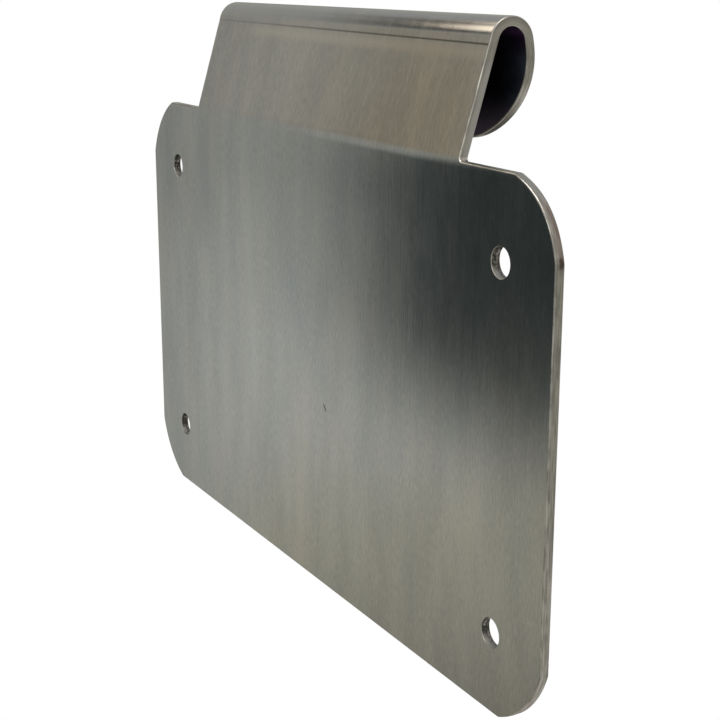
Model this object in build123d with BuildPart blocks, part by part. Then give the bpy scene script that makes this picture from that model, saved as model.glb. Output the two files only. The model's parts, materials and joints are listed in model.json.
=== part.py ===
import os
from math import cos, degrees, radians, sin

from build123d import *

# Hook-on number plate bracket, cut from one stainless sheet and folded.
# X runs across the plate, Y from its front to its back, Z up. The origin is
# the centre of the plate's front face, midway between the four bolt holes.

# Sheet, and the rounding of its deburred edges
sheet = 1.9
edge_round = 0.3

# Plate that carries the number plate
plate_width = 177.8
plate_height = 101.6
hole_inset = 15.875
hole_diameter = 5.7
hole_chamfer = 0.12

# Plate corners: each arc meets the side and the edge in a slight, softened kink
corner_side_reach = 13.6
corner_edge_reach = 12.7
corner_arc_radius = 22.0
kink_radius = 1.5

# Tab that leans back from the plate's top edge, between two ears
ear_width = 29.9
tab_length = 22.8
tab_lean = 16.5
bend_inside_radius = 8.0
notch_radius = 0.8

# Hook: the tab's top rolled over to the back, and the flap that hangs from it
roll_inside_radius = 2.85
flap_lean = 12.0
flap_inside_radius = 33.0
flap_drop = 23.4
flap_corner_radius = 18.0

tab_width = plate_width - 2 * ear_width
hole_spacing_x = plate_width - 2 * hole_inset
hole_spacing_z = plate_height - 2 * hole_inset
half_plate = plate_width / 2
half_height = plate_height / 2
half_tab = tab_width / 2
cut_reach = plate_width + plate_height
roll_radius = roll_inside_radius + sheet
roll_turn = 180 - tab_lean - flap_lean
flap_turn = degrees(flap_drop / flap_inside_radius)
tab_rise = (sin(radians(tab_lean)), cos(radians(tab_lean)))
foot = (0, -half_height)
fold = (0, half_height)
tab_top = (tab_length * tab_rise[0], half_height + tab_length * tab_rise[1])

with BuildPart() as plate_bracket:
    # Hook: the outer face of the roll and the flap, thickened inwards
    with BuildSketch(Plane.YZ):
        with BuildLine():
            roll = JernArc(tab_top, tab_rise, roll_radius, -roll_turn)
            JernArc(roll @ 1, roll % 1, flap_inside_radius + sheet, -flap_turn)
            offset(amount=sheet, side=Side.RIGHT)
        make_face()
    extrude(amount=half_tab, both=True)

    # Flap outline: cut level at its foot, with round lower corners that end below the roll's centre
    flap_foot = roll.center_point.Y + roll_radius - flap_drop
    with BuildSketch(Plane.XZ) as flap_outline:
        with Locations((0, flap_foot)):
            Rectangle(tab_width, cut_reach, align=(Align.CENTER, Align.MIN))
        flap_corners = flap_outline.vertices().group_by(Axis.Y)[0]
        fillet(flap_corners, min(flap_corner_radius, flap_drop - roll_radius))
    extrude(amount=cut_reach, both=True, mode=Mode.INTERSECT)

    # Plate and tab: their front face, thickened to the back
    with BuildSketch(Plane.YZ):
        with BuildLine():
            FilletPolyline(foot, fold, tab_top, radius=bend_inside_radius + sheet)
            offset(amount=sheet, side=Side.RIGHT)
        make_face()
    extrude(amount=half_plate, both=True)

    # Front outline: the plate with its cut corners, and the narrower tab above it
    with BuildSketch(Plane.XZ) as outline:
        with BuildLine():
            bottom_kink = (half_plate - corner_edge_reach, -half_height)
            bottom_side = (half_plate, corner_side_reach - half_height)
            top_side = (half_plate, half_height - corner_side_reach)
            top_kink = (half_plate - corner_edge_reach, half_height)
            Line((0, -half_height), bottom_kink)
            RadiusArc(bottom_kink, bottom_side, -corner_arc_radius)
            Line(bottom_side, top_side)
            RadiusArc(top_side, top_kink, -corner_arc_radius)
            Polyline(top_kink, (half_tab, half_height), (half_tab, cut_reach), (0, cut_reach))
            mirror(about=Plane.YZ)
        make_face()
        kinks = outline.vertices().filter_by(lambda corner: abs(corner.X) > half_tab + notch_radius)
        fillet(kinks, kink_radius)
        tab_corners = outline.vertices().filter_by(lambda corner: abs(corner.X) < half_tab + notch_radius)
        tab_roots = tab_corners.group_by(Axis.Y)[0]
        fillet(tab_roots, notch_radius)
    extrude(amount=cut_reach, both=True, mode=Mode.INTERSECT)

    # Deburred outline: every edge where the two faces' normals differ
    rim = []
    for edge in plate_bracket.edges():
        sides = [face.normal_at(edge @ 0.5) for face in plate_bracket.faces() if edge in face.edges()]
        if sides[0] != sides[-1]:
            rim.append(edge)
    fillet(rim, edge_round)

    # Bolt holes, each with both of its rims lightly countersunk
    with BuildSketch(Plane.XZ):
        with GridLocations(hole_spacing_x, hole_spacing_z, 2, 2):
            Circle(hole_diameter / 2)
    extrude(amount=cut_reach, both=True, mode=Mode.SUBTRACT)
    hole_rims = plate_bracket.edges(Select.LAST).filter_by(GeomType.CIRCLE)
    chamfer(hole_rims, hole_chamfer)

plate_bracket.part.label = "plate_bracket"
os.makedirs("parts", exist_ok=True)
export_step(plate_bracket.part, "parts/plate_bracket.step")
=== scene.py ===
import json
from math import atan2, cos, degrees, hypot, pi, radians, sin, tan

import bpy
from mathutils import Matrix, Vector


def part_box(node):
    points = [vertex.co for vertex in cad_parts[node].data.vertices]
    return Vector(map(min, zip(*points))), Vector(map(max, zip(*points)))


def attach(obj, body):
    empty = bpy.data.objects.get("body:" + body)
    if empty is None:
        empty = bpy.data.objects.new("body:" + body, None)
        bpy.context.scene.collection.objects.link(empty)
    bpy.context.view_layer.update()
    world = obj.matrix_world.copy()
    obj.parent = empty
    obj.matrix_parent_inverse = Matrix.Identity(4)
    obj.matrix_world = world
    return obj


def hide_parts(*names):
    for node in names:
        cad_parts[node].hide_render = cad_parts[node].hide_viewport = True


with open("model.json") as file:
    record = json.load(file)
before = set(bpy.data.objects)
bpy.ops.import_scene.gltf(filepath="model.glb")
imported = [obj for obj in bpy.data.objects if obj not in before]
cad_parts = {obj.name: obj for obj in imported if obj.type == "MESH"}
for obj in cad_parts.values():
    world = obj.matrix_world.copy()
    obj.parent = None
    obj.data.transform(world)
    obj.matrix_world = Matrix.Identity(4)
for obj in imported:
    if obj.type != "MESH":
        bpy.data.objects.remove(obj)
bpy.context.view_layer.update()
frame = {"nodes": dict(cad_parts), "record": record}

# Bracket: one stainless sheet, cut to its outline, folded back along the plate's top
# and rolled over into a hook on a press, then deburred all round. The mesh is the
# solid's own, welded so that the bends and the rounded rim shade smoothly.
mounts = {mount["name"]: mount for mount in frame["record"]["mounts"]}
lowest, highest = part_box("plate_bracket")
weld_distance = 1e-6
solid = frame["nodes"]["plate_bracket"]
bracket = bpy.data.objects.new("folded_bracket", solid.data.copy())
bpy.context.collection.objects.link(bracket)
bpy.ops.object.select_all(action="DESELECT")
bracket.select_set(True)
bpy.context.view_layer.objects.active = bracket
bpy.ops.mesh.customdata_custom_splitnormals_clear()
bpy.ops.object.mode_set(mode="EDIT")
bpy.ops.mesh.select_all(action="SELECT")
bpy.ops.mesh.remove_doubles(threshold=weld_distance)
bpy.ops.object.mode_set(mode="OBJECT")

# Upper right corner: the plate's corners are cut alike, but this one came out a little
# fuller than the other three. Its rim stands out in the plane of the plate, most at the
# middle of the arc.
fold_height = -lowest.z
corner_edge_reach = 0.0127
corner_side_reach = 0.0136
corner_bulge = 0.0007
for vertex in bracket.data.vertices:
    share_x = 1 - (highest.x - vertex.co.x) / corner_edge_reach
    share_z = 1 - (fold_height - vertex.co.z) / corner_side_reach
    if share_x > 0 and share_z > 0:
        angle = atan2(share_z, share_x)
        vertex.co += corner_bulge * sin(2 * angle) * Vector((cos(angle), 0, sin(angle)))

# Press line: where the tab was gripped to roll its top, the tool left a fine step
# across the front. It runs slightly downhill to the right, and the sheet just below it
# was pressed in by a hair.
tab_lean = radians(16.5)
tab_half_width = 0.059
press_line_height = 0.02165
press_line_drop = 0.0009
press_line_width = 0.00045
press_line_depth = 0.00008
flat_enough = 0.9999
tab_up = Vector((0, sin(tab_lean), cos(tab_lean)))
tab_out = Vector((0, -cos(tab_lean), sin(tab_lean)))
fold = Vector((0, 0, fold_height))
press_line_slope = Vector((press_line_drop / (2 * tab_half_width), 0, 0))
across_press_line = (tab_up + press_line_slope).normalized()
for rise, depth in ((press_line_width / 2, 0), (-press_line_width / 2, press_line_depth)):
    for face in bracket.data.polygons:
        face.select = face.normal.dot(tab_out) > flat_enough and face.center.z > fold_height
    bpy.ops.object.mode_set(mode="EDIT")
    bpy.ops.mesh.select_mode(type="FACE")
    bpy.ops.mesh.bisect(plane_co=fold + (press_line_height + rise) * tab_up, plane_no=across_press_line)
    bpy.ops.mesh.select_mode(type="EDGE")
    bpy.ops.mesh.mark_sharp()
    bpy.ops.transform.translate(value=-depth * tab_out)
    bpy.ops.mesh.select_all(action="DESELECT")
    bpy.ops.object.mode_set(mode="OBJECT")

# Shading: rounded rims are smooth, and the sheet's two sides have the true normals of
# its folds, so that reflections run evenly from the plate over the tab and the roll.
crisp_angle = radians(30)
bend_radius = 0.0099
flap_lean = radians(12)
flap_inside_radius = 0.033
sheet = mounts["plate_back"]["pos_m"][1]
roll_centre = Vector(mounts["hook"]["pos_m"])
roll_radius = highest.z - roll_centre.z
bend_centre = Vector((0, bend_radius, fold_height - bend_radius * tan(tab_lean / 2)))
flap_out = Vector((0, cos(flap_lean), sin(flap_lean)))
flap_down = Vector((0, sin(flap_lean), -cos(flap_lean)))
flap_centre = roll_centre + (roll_radius - sheet - flap_inside_radius) * flap_out
same_fold = 0.99


def outer_side(spot):
    """Which way the sheet's outer side faces near a point, and how deep the point lies under it."""
    if spot.y > roll_centre.y and (spot - roll_centre).dot(flap_down) > 0:
        away, reach = spot - flap_centre, flap_inside_radius + sheet
    elif (spot - roll_centre).dot(tab_up) > 0:
        away, reach = spot - roll_centre, roll_radius
    elif (spot - bend_centre).dot(tab_up) > 0:
        return tab_out, (fold - spot).dot(tab_out)
    elif spot.z > bend_centre.z:
        away, reach = spot - bend_centre, bend_radius
    else:
        return Vector((0, -1, 0)), spot.y
    away.x = 0
    return away.normalized(), reach - away.length


bpy.ops.object.shade_smooth_by_angle(angle=crisp_angle, keep_sharp_edges=True)
bpy.ops.object.modifier_add(type="WEIGHTED_NORMAL")
bracket.modifiers[0].keep_sharp = True
bracket.modifiers[0].mode = "FACE_AREA_WITH_ANGLE"
bpy.ops.object.modifier_apply(modifier=bracket.modifiers[0].name)
normals = [corner.vector.copy() for corner in bracket.data.corner_normals]
for face in bracket.data.polygons:
    side = face.normal.dot(outer_side(face.center)[0])
    if abs(side) > same_fold:
        for corner in face.loop_indices:
            spot = bracket.data.vertices[bracket.data.loops[corner].vertex_index].co
            outward = outer_side(spot)[0]
            normals[corner] = outward if side > 0 else -outward
bracket.data.normals_split_custom_set(normals)


# Brushed finish: the sheet's upright grain, with fine scores that blur reflections
# sideways, longer streaks, and soft upright bands and smears left by wiping. The press
# marked the tab, and one short nick crosses the plate's grain.
class Socket:
    """A shader socket. Sums and products of sockets and numbers add Math nodes to its tree."""

    def __init__(self, tree, output=None):
        self.tree = tree
        self.output = output

    def node(self, kind, settings, inputs, output=0):
        """Adds a node, makes its settings, fills or links its sockets, and gives one of its outputs."""
        made = self.tree.nodes.new(kind)
        for name, value in settings.items():
            if name == "stops":
                stops = made.color_ramp.elements
                for place, colour in value[2:]:
                    stops.new(place)
                for stop, (place, colour) in zip(stops, value):
                    stop.position = place
                    stop.color = colour
            else:
                setattr(made, name, value)
        for name, value in inputs.items():
            if isinstance(value, Socket):
                self.tree.links.new(value.output, made.inputs[name])
            else:
                made.inputs[name].default_value = value
        return Socket(self.tree, made.outputs[output])

    def math(self, operation, *values):
        """A Math node on values."""
        return self.node("ShaderNodeMath", {"operation": operation}, dict(enumerate(values)))

    def vector(self, operation, *values, output=0):
        """A Vector Math node on vectors."""
        settings = {"operation": operation}
        return self.node("ShaderNodeVectorMath", settings, dict(enumerate(values)), output)

    def parts(self):
        """The three parts of a vector."""
        split = self.node("ShaderNodeSeparateXYZ", {}, {0: self}).output.node
        return (Socket(self.tree, output) for output in split.outputs)

    def step(self, low, high):
        """Rises smoothly from 0 to 1 between two values."""
        limits = {"Value": self, "From Min": low, "From Max": high}
        return self.node("ShaderNodeMapRange", {"interpolation_type": "SMOOTHSTEP"}, limits)

    def between(self, low, high, soft):
        """1 between two values and 0 outside them, with soft borders."""
        return self.step(low - soft, low + soft) * (1 - self.step(high - soft, high + soft))

    def blend(self, first, second):
        """A colour that goes from one to another as this value goes from 0 to 1."""
        return self.node("ShaderNodeMix", {"data_type": "RGBA"}, {0: self, 6: first, 7: second}, 2)

    def feed(self, shader, name):
        """Links this socket to one of a shader's own."""
        self.tree.links.new(self.output, shader.inputs[name])

    def __add__(self, other):
        return self.math("ADD", self, other)

    def __sub__(self, other):
        return self.math("SUBTRACT", self, other)

    def __rsub__(self, other):
        return self.math("SUBTRACT", other, self)

    def __mul__(self, other):
        return self.math("MULTIPLY", self, other)

    def __truediv__(self, other):
        return self.math("DIVIDE", self, other)

    __radd__ = __add__
    __rmul__ = __mul__


def new_metal(name):
    """A bare metal, its shader, and the place of each point in the bracket's own frame."""
    metal = bpy.data.materials.new(name)
    metal.use_nodes = True
    shader = metal.node_tree.nodes["Principled BSDF"]
    shader.inputs["Metallic"].default_value = 1
    return metal, shader, Socket(metal.node_tree).node("ShaderNodeTexCoord", {}, {}, "Object")


def noise(place, size, detail):
    """Noise with a grain of its own length along each axis."""
    scale = [1 / length for length in size]
    drawn = place.node("ShaderNodeMapping", {}, {"Vector": place, "Scale": scale})
    return place.node("ShaderNodeTexNoise", {}, {"Vector": drawn, "Scale": 1, "Detail": detail})


def carve(shader, height, strength, depth):
    """Bumps a shader's surface by a height that goes from 0 to 1."""
    bump = {"Strength": strength, "Distance": depth, "Height": height}
    height.node("ShaderNodeBump", {}, bump).feed(shader, "Normal")


sheet_steel, shader, place = new_metal("brushed_stainless")
x, y, z = place.parts()

# Grain of the sheet, pale and deep, cool and warm, and evened out where the press rolled it
scores = noise(place, size=(0.0002, 0.012, 0.012), detail=2)
grain = noise(place, size=(0.00045, 0.0016, 0.0016), detail=2)
streaks = noise(place, size=(0.0009, 0.014, 0.014), detail=2)
smears = noise(place, size=(0.0035, 0.009, 0.009), detail=4)
bands = noise(place, size=(0.012, 0.045, 0.045), detail=2)
warmth = noise(place, size=(0.009, 0.03, 0.03), detail=2)
grain_share = 0.49
streak_share = 0.15
smear_share = 0.2
band_share = 0.48
to_middle = (1 - grain_share - streak_share - smear_share - band_share) / 2
tone = (grain_share * grain + streak_share * streaks + smear_share * smears + band_share * bands
        + to_middle)
low_tone = 0.3
high_tone = 0.7
roll_evening = 0.6
roll_start = 0.002
cool_pale_steel = (0.635, 0.63, 0.61, 1)
warm_pale_steel = (0.65, 0.63, 0.596, 1)
cool_deep_steel = (0.465, 0.482, 0.48, 1)
warm_deep_steel = (0.477, 0.48, 0.47, 1)
warm = warmth.step(low_tone, high_tone)
pale_steel = warm.blend(cool_pale_steel, warm_pale_steel)
deep_steel = warm.blend(cool_deep_steel, warm_deep_steel)
brushed = tone.step(low_tone, high_tone)
rolled = z.step(roll_centre.z, roll_centre.z + roll_start)
brushed = brushed + roll_evening * rolled * (0.5 - brushed)
steel = brushed.blend(deep_steel, pale_steel)

# Press marks: a band rubbed bright below the press line, and painted shade in the line's step,
# which thins out to the left
burnish_start = 0.0007
burnish_end = 0.0027
burnish_soft = 0.0011
burnish_fade_left = -0.052
burnish_fade_right = -0.03
burnish_strength = 0.7
bright_steel = (0.69, 0.665, 0.61, 1)
step_shade_width = 0.0003
step_shade_back = 0.007
step_shade_back_soft = 0.0002
step_shade_fade_left = -0.045
step_shade_fade_right = 0.035
step_shade_least = 0.3
painted_step_shade = (0.24, 0.22, 0.185, 1)
from_line = place.vector("SUBTRACT", place, fold + press_line_height * tab_up)
below_line = from_line.vector("DOT_PRODUCT", from_line, -across_press_line, output="Value")
burnish = (below_line.between(burnish_start, burnish_end, burnish_soft)
           * x.step(burnish_fade_left, burnish_fade_right))
# Painted shade: a dark line along the press line's step
step_shade = (below_line.between(-step_shade_width / 2, step_shade_width / 2, step_shade_width / 2)
        * (1 - y.step(step_shade_back, step_shade_back + step_shade_back_soft))
        * (step_shade_least + (1 - step_shade_least) * x.step(step_shade_fade_left, step_shade_fade_right)))
steel = (burnish_strength * burnish).blend(steel, bright_steel)
steel = step_shade.blend(steel, painted_step_shade)

# Nick across the grain, on the front alone
nick_centre = Vector((0.0076, 0, -0.0088))
nick_tilt = radians(39)
nick_length = 0.0016
nick_width = 0.0004
nick_depth = 0.0002
nick_tone = (0.12, 0.12, 0.11, 1)
nick_line = Vector((sin(nick_tilt), 0, -cos(nick_tilt)))
nick_side = Vector((cos(nick_tilt), 0, sin(nick_tilt)))
from_nick = place.vector("SUBTRACT", place, nick_centre)
along = from_nick.vector("DOT_PRODUCT", from_nick, nick_line, output="Value")
aside = from_nick.vector("DOT_PRODUCT", from_nick, nick_side, output="Value")
nick = (along.between(-nick_length / 2, nick_length / 2, nick_width)
        * aside.between(-nick_width / 2, nick_width / 2, nick_width / 2)
        * (1 - y.step(nick_depth, 2 * nick_depth)))
nick.blend(steel, nick_tone).feed(shader, "Base Color")

sheet_roughness = 0.08
streak_roughness = 0.04
smear_roughness = 0.05
mark_roughness = 0.2
score_depth = 0.000004
(sheet_roughness + streak_roughness * streaks + smear_roughness * smears
 + mark_roughness * (nick + step_shade)).feed(shader, "Roughness")
carve(shader, scores, strength=1, depth=score_depth)
bracket.data.materials.clear()
bracket.data.materials.append(sheet_steel)

# Cut edges: the sheet's own thickness, sheared and then deburred by hand, so it is
# duller and a little warmer than the faces, with scratches along its length. The tab's
# edges are paler, and the upper right corner is tinted brown above a small stain.
edge_round = 0.0003
flap_foot = 0.05265
edge_steel, shader, place = new_metal("deburred_edge")
x, y, z = place.parts()
depths = bracket.data.attributes.new("depth_in_sheet", "FLOAT", "POINT")
for vertex in bracket.data.vertices:
    depths.data[vertex.index].value = outer_side(vertex.co)[1]
into_sheet = place.node("ShaderNodeAttribute", {"attribute_name": depths.name}, {}, "Fac")
edge_place = x.node("ShaderNodeCombineXYZ", {}, {0: x, 1: into_sheet, 2: z})
scratches = noise(edge_place, size=(0.006, 0.00022, 0.006), detail=3)
patches = noise(edge_place, size=(0.003, 0.0007, 0.003), detail=2)
scratch_share = 0.6
dull_tone = 0.36
worn_tone = 0.62
dull_edge = (0.32, 0.31, 0.285, 1)
worn_edge = (0.60, 0.58, 0.54, 1)
wear = (scratch_share * scratches + (1 - scratch_share) * patches).step(dull_tone, worn_tone)
edge_tone = wear.blend(dull_edge, worn_edge)

# Paler edge of the tab, from the fold up to the roll
pale_start = 0.0002
pale_end = 0.0012
pale_soft = 0.003
pale_back = 0.002
pale_strength = 0.65
pale_edge = (0.68, 0.685, 0.68, 1)
tab_edge = (z.between(fold_height, roll_centre.z - pale_soft, pale_soft)
            * into_sheet.step(pale_start, pale_end)
            * (1 - y.step(roll_centre.y - pale_back, roll_centre.y)))
edge_tone = (pale_strength * tab_edge).blend(edge_tone, pale_edge)

# Brown tint and stain, mostly on the half of the edge towards the back
back_half_start = 0.0004
back_half_end = 0.0011
tint_foot = 0.0375
tint_top = 0.0475
tint_soft = 0.0015
tint_fray = 0.002
tint_inner_x = 0.077
tint_outer_x = 0.080
tint_strength = 0.9
tint_rubbed_off = 0.4
rust_tint = (0.27, 0.215, 0.195, 1)
stain_place = Vector((highest.x, 0.001, 0.0374))
stain_size = 0.0009
stain_fray = 0.001
stain_least = 0.3
stain_strength = 0.85
stain_tone = (0.10, 0.07, 0.06, 1)
back_half = y.step(back_half_start, back_half_end)
tint = ((z + tint_fray * patches).between(tint_foot, tint_top, tint_soft)
        * back_half * x.step(tint_inner_x, tint_outer_x))
edge_tone = (tint * (tint_strength - tint_rubbed_off * wear)).blend(edge_tone, rust_tint)
from_stain = place.vector("DISTANCE", place, stain_place, output="Value")
stain = ((1 - (from_stain + stain_fray * patches).step(stain_size, 2 * stain_size))
         * (stain_least + (1 - stain_least) * back_half))
(stain_strength * stain).blend(edge_tone, stain_tone).feed(shader, "Base Color")

edge_roughness = 0.40
worn_smoother = 0.14
stain_rougher = 0.2
scratch_depth = 0.00002
(edge_roughness - worn_smoother * wear + stain_rougher * stain).feed(shader, "Roughness")
carve(shader, scratches, strength=0.6, depth=scratch_depth)
edge_slot = len(bracket.data.materials)
bracket.data.materials.append(edge_steel)
side_turn = 0.05
for face in bracket.data.polygons:
    spot = face.center
    on_side = abs(face.normal.x) > side_turn
    on_bottom = spot.z < lowest.z + edge_round
    on_ear = abs(spot.x) > tab_half_width and spot.z > fold_height - edge_round
    on_foot = spot.y > roll_centre.y and spot.z < flap_foot + edge_round
    if on_side or on_bottom or on_ear or on_foot:
        face.material_index = edge_slot

# Bolt holes: punched through, so that their walls are torn and dull, with only a thin
# bright ring where each rim was countersunk. The lower front of each wall is paler.
bolts = mounts["plate_bolts"]["dims"]
hole_radius = bolts["hole_r_mm"] / 1000
hole_x = bolts["spacing_x_mm"] / 2000
hole_z = bolts["spacing_y_mm"] / 2000
wall_steel, shader, place = new_metal("punched_wall")
_, y, z = place.parts()
tears = noise(place, size=(0.0006, 0.0005, 0.0006), detail=3)
torn_tone = 0.45
smooth_tone = 0.68
torn_wall = (0.08, 0.077, 0.073, 1)
smooth_wall = (0.40, 0.39, 0.37, 1)
paler_foot = -0.0022
paler_top = -0.0001
paler_fray = 0.0012
paler_front = 0.0005
paler_back = 0.0013
paler_less_behind = 0.75
paler_wall = (0.52, 0.51, 0.48, 1)
above_axis = z - hole_z * z.math("SIGN", z)
paler_lower_front = ((1 - (above_axis + paler_fray * tears).step(paler_foot, paler_top))
          * (1 - paler_less_behind * y.step(paler_front, paler_back)))
wall_tone = tears.step(torn_tone, smooth_tone).blend(torn_wall, smooth_wall)
paler_lower_front.blend(wall_tone, paler_wall).feed(shader, "Base Color")
wall_roughness = 0.5
tears_smoother = 0.2
tear_depth = 0.0001
(wall_roughness - tears_smoother * tears).feed(shader, "Roughness")
carve(shader, tears, strength=0.5, depth=tear_depth)
wall_slot = len(bracket.data.materials)
bracket.data.materials.append(wall_steel)
rim_turn = 0.5
for face in bracket.data.polygons:
    from_axis = hypot(abs(face.center.x) - hole_x, abs(face.center.z) - hole_z)
    if from_axis < hole_radius + edge_round:
        face.material_index = wall_slot if abs(face.normal.y) < rim_turn else edge_slot

# Inside of the hook: the same sheet's inner side. Its colour is painted shade, dark deep in the
# hook and lighter towards the ends and the flap's foot, where painted blue and purple sheen
# shows and the metal is dulled; the lower back of the tab is left unshaded.
inner_steel, shader, place = new_metal("dull_hook_inside")
x, y, z = place.parts()
inside_mottle = noise(place, size=(0.004, 0.004, 0.004), detail=3)
painted_deep_shade = (0.05, 0.047, 0.06, 1)
painted_blue_sheen = (0.22, 0.27, 0.38, 1)
painted_purple_sheen = (0.15, 0.08, 0.2, 1)
painted_foot_sheen = (0.40, 0.32, 0.44, 1)
unshaded_back = (0.46, 0.455, 0.44, 1)
end_start = 0.053
end_full = 0.066
end_fray = 0.008
foot_height = 0.012
foot_fray = 0.004
top_start = -0.004
top_full = 0.001
dulled_inside = 0.35
dulled_more_at_ends = 0.6
from_middle = x.math("ABSOLUTE", x)
towards_end = (from_middle + end_fray * inside_mottle).step(end_start, end_full)
towards_foot = 1 - (z + foot_fray * inside_mottle).step(flap_foot, flap_foot + foot_height)
towards_top = z.step(roll_centre.z + top_start, roll_centre.z + top_full)
on_flap = y.step(roll_centre.y - sheet, roll_centre.y)
# Painted shade deep in the hook; painted blue and purple sheen towards the ends and on the flap near
# its foot
painted_end_sheen = towards_top.blend(painted_blue_sheen, painted_purple_sheen)
foot_tone = on_flap.blend(unshaded_back, painted_foot_sheen)
towards_foot.blend(towards_end.blend(painted_deep_shade, painted_end_sheen), foot_tone).feed(shader, "Base Color")
dulled = towards_foot * on_flap * (dulled_inside + dulled_more_at_ends * towards_end)
(1 - dulled).feed(shader, "Metallic")
inner_roughness = 0.4
mottle_roughness = 0.15
(inner_roughness + mottle_roughness * inside_mottle).feed(shader, "Roughness")
# The dimmed edge tint keeps grazing reflections inside dark, as part of the painted shade
shader.inputs["Specular Tint"].default_value = (0.3, 0.3, 0.32, 1)
inner_slot = len(bracket.data.materials)
bracket.data.materials.append(inner_steel)
for face in bracket.data.polygons:
    outward = outer_side(face.center)[0]
    if face.center.z > flap_foot and face.normal.dot(outward) < -same_fold:
        face.material_index = inner_slot

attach(bracket, "root")
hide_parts("plate_bracket")

# Floor: a plain pale board well below the bracket, round, with an edge that fades into
# the white of the room.
floor_drop = 0.27
floor_radius = 0.5
floor_fade_start = 0.3
floor_height = lowest.z - floor_drop
bpy.ops.mesh.primitive_circle_add(
    vertices=96, radius=floor_radius, fill_type="NGON", location=(0, 0, floor_height))
floor = bpy.context.object
floor.name = "pale_floor"
bpy.ops.object.transform_apply()
board = bpy.data.materials.new("pale_board")
board.use_nodes = True
shader = board.node_tree.nodes["Principled BSDF"]
place = Socket(board.node_tree).node("ShaderNodeTexCoord", {}, {}, "Object")
reach = place.vector("DISTANCE", place, (0, 0, floor_height), output="Value")
shader.inputs["Base Color"].default_value = (0.9, 0.9, 0.9, 1)
shader.inputs["Roughness"].default_value = 0.9
(1 - reach.step(floor_fade_start, floor_radius)).feed(shader, "Alpha")
floor.data.materials.append(board)

# Light tent: grey cloth round the bracket, just above the floor, that shows only in the
# metal. Its tones go by height and turn, the angles in degrees at which the bracket sees
# them: turn 0 is to the left, and 90 in front.
tent_radius = 1.5
tent_gap = 0.02
tent_height = floor_height + tent_gap + tent_radius
bpy.ops.mesh.primitive_uv_sphere_add(
    segments=96, ring_count=48, radius=tent_radius, location=(0, 0, tent_height))
tent = bpy.context.object
tent.name = "light_tent"
bpy.ops.object.transform_apply()
tent.visible_camera = False
tent.visible_diffuse = False
tent.visible_shadow = False
cloth = bpy.data.materials.new("tent_cloth")
cloth.use_nodes = True
tree = cloth.node_tree
tree.nodes.clear()
place = Socket(tree).node("ShaderNodeTexCoord", {}, {}, "Object")
x, y, z = place.vector("NORMALIZE", place).parts()
height = z.math("ARCSINE", z) * degrees(1)
turn = y.math("ARCTAN2", 0 - y, 0 - x) * degrees(1)


def patch(turns, heights, side_soft, rim_soft):
    """A part of the tent between two turns and two heights, with soft sides and rims."""
    return turn.between(*turns, side_soft) * height.between(*heights, rim_soft)


# Cloth from the floor to the top
cloth_tones = {
    -90: (0.52, 0.49, 0.45, 1),
    -58: (0.50, 0.47, 0.43, 1),
    -48: (0.22, 0.21, 0.18, 1),
    -38: (0.285, 0.275, 0.23, 1),
    -26: (0.43, 0.42, 0.355, 1),
    -19: (0.51, 0.52, 0.485, 1),
    -14: (0.53, 0.545, 0.52, 1),
    -4: (0.365, 0.38, 0.355, 1),
    8: (0.37, 0.365, 0.335, 1),
    15: (0.425, 0.41, 0.36, 1),
    22: (0.38, 0.38, 0.36, 1),
    36: (0.37, 0.375, 0.37, 1),
    90: (0.42, 0.42, 0.41, 1),
}
stops = [((angle + 90) / 180, colour) for angle, colour in cloth_tones.items()]
light = height.node("ShaderNodeValToRGB", {"stops": stops}, {"Fac": (height + 90) / 180})

# Shaded cloth beside the opening
left_fade = patch(turns=(-30, 20.5), heights=(-30, 17), side_soft=3, rim_soft=4)
left_low = (0.37, 0.38, 0.36, 1)
left_high = (0.30, 0.305, 0.29, 1)
light = left_fade.blend(light, height.step(-11, -4).blend(left_low, left_high))
right_fade = patch(turns=(41.5, 75), heights=(-29, -18), side_soft=4, rim_soft=4)
right_shade = (0.34, 0.335, 0.28, 1)
light = right_fade.blend(light, right_shade)

# Dark opening, with a sill that falls and a lintel that rises as it turns to the front
sill_slope = 0.5
sill_level_from = 39.5
lintel_slope = 2
lintel_rise_from = 33
lintel_level_from = 40
opening_low = (0.07, 0.075, 0.07, 1)
opening_high = (0.034, 0.042, 0.042, 1)
sill = height + sill_slope * turn.math("MINIMUM", turn, sill_level_from)
lintel_turn = turn.math("MINIMUM", turn, lintel_level_from) - lintel_rise_from
lintel = height - lintel_slope * turn.math("MAXIMUM", lintel_turn, 0)
opening = turn.between(29.9, 70, soft=4.9) * sill.step(-5.2, 4.6) * (1 - lintel.step(-4.3, 2.5))
light = opening.blend(light, height.step(-17, -9).blend(opening_low, opening_high))
warm_side = patch(turns=(27.5, 36), heights=(8, 19), side_soft=3, rim_soft=2)
warm_cloth = (0.32, 0.28, 0.212, 1)
light = warm_side.blend(light, warm_cloth)

# Warm window over a dark bar, both slanting down as they turn to the front
slant_from = 9
bar_foot_slope = 0.3
bar_edge_slope = 0.65
bar_tone = (0.06, 0.06, 0.057, 1)
window_slope = 0.6
window_light = (2.3, 2.0, 1.62, 1)
slant_turn = turn.math("MAXIMUM", turn, slant_from)
bar_foot = (height - bar_foot_slope * turn).step(9.9, 12)
bar_edge = (height + bar_edge_slope * slant_turn).step(34, 41)
bar = bar_edge * bar_foot * turn.step(-12, 12) * (1 - turn.step(26.5, 34))
light = bar.blend(light, bar_tone)
window_edge = (height + window_slope * slant_turn).step(41.9, 43.4)
window = window_edge * turn.step(-12, 16) * (1 - turn.step(25, 32)) * (1 - height.step(44, 52))
light = window.blend(light, window_light)

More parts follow.
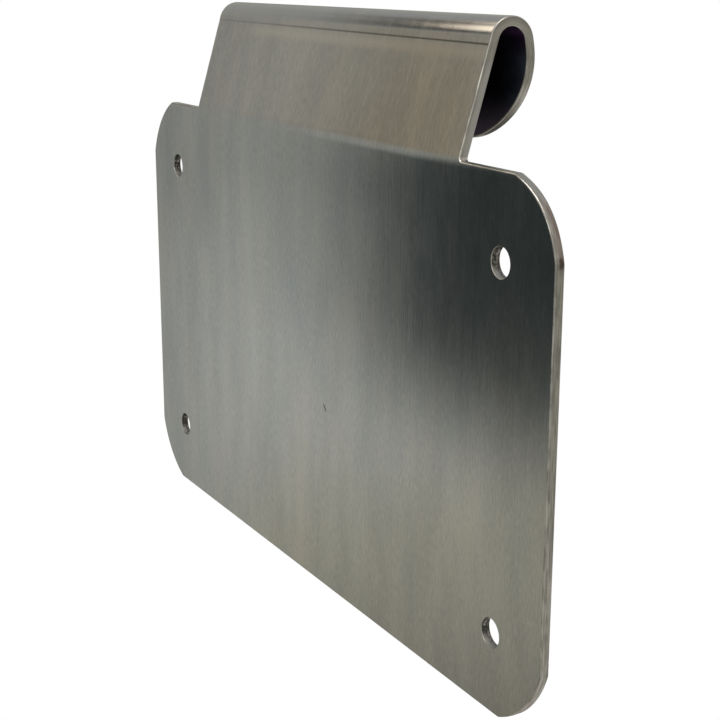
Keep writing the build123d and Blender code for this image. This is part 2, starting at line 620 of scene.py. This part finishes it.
# Bright cloth on the camera's side, duller cloth from the right to the back, and shade
# low down behind the bracket
camera_side = patch(turns=(85, 165), heights=(18, 40), side_soft=12, rim_soft=5)
camera_light = (1.5, 1.46, 1.4, 1)
light = camera_side.blend(light, camera_light)
end_side = turn.between(-178, -100, soft=12)
end_outer = (0.56, 0.54, 0.50, 1)
end_middle = (0.34, 0.332, 0.29, 1)
light = end_side.blend(light, height.between(-23, 10, soft=6).blend(end_outer, end_middle))
back_shade = patch(turns=(-100, -20), heights=(-53, -22), side_soft=12, rim_soft=5)
back_tone = (0.05, 0.05, 0.05, 1)
light = back_shade.blend(light, back_tone)
glow = light.node("ShaderNodeEmission", {}, {"Color": light})
glow.feed(tree.nodes.new("ShaderNodeOutputMaterial"), "Surface")
tent.data.materials.append(cloth)

# World and lamp: an even white room, and one large soft lamp above the bracket, which
# gives it a faint shadow on the floor.
world = bpy.data.worlds.new("white_room")
world.use_nodes = True
world.node_tree.nodes["Background"].inputs["Color"].default_value = (1, 1, 1, 1)
world.node_tree.nodes["Background"].inputs["Strength"].default_value = 1
bpy.context.scene.world = world
lamp_place = (0.1, -0.2, 0.95)
bpy.ops.object.light_add(type="AREA", location=lamp_place)
lamp = bpy.context.object
lamp.name = "soft_lamp"
lamp.data.size = 0.7
lamp.data.energy = 6
lamp.data.color = (1, 0.97, 0.93)

# Camera: stands to the right of the plate, a little above it, as in the photograph. Its
# focal length is given as a share of the picture's width.
camera_place = Vector((0.276568, -0.141623, 0.083858))
camera_yaw = radians(60.78)
camera_pitch = radians(15.07)
camera_roll = radians(0.16)
focal_share = 1450.48 / 720
nearest_view = 0.01
camera_data = bpy.data.cameras.new("photo_camera")
camera_data.lens = focal_share * camera_data.sensor_width
camera_data.clip_start = nearest_view
camera = bpy.data.objects.new("photo_camera", camera_data)
bpy.context.collection.objects.link(camera)
heading = Matrix.Rotation(camera_yaw, 4, "Z")
tilt = Matrix.Rotation(pi / 2 - camera_pitch, 4, "X")
twist = Matrix.Rotation(camera_roll, 4, "Z")
camera.matrix_world = Matrix.Translation(camera_place) @ heading @ tilt @ twist
bpy.context.scene.camera = camera
bpy.context.scene.view_settings.view_transform = "Standard"
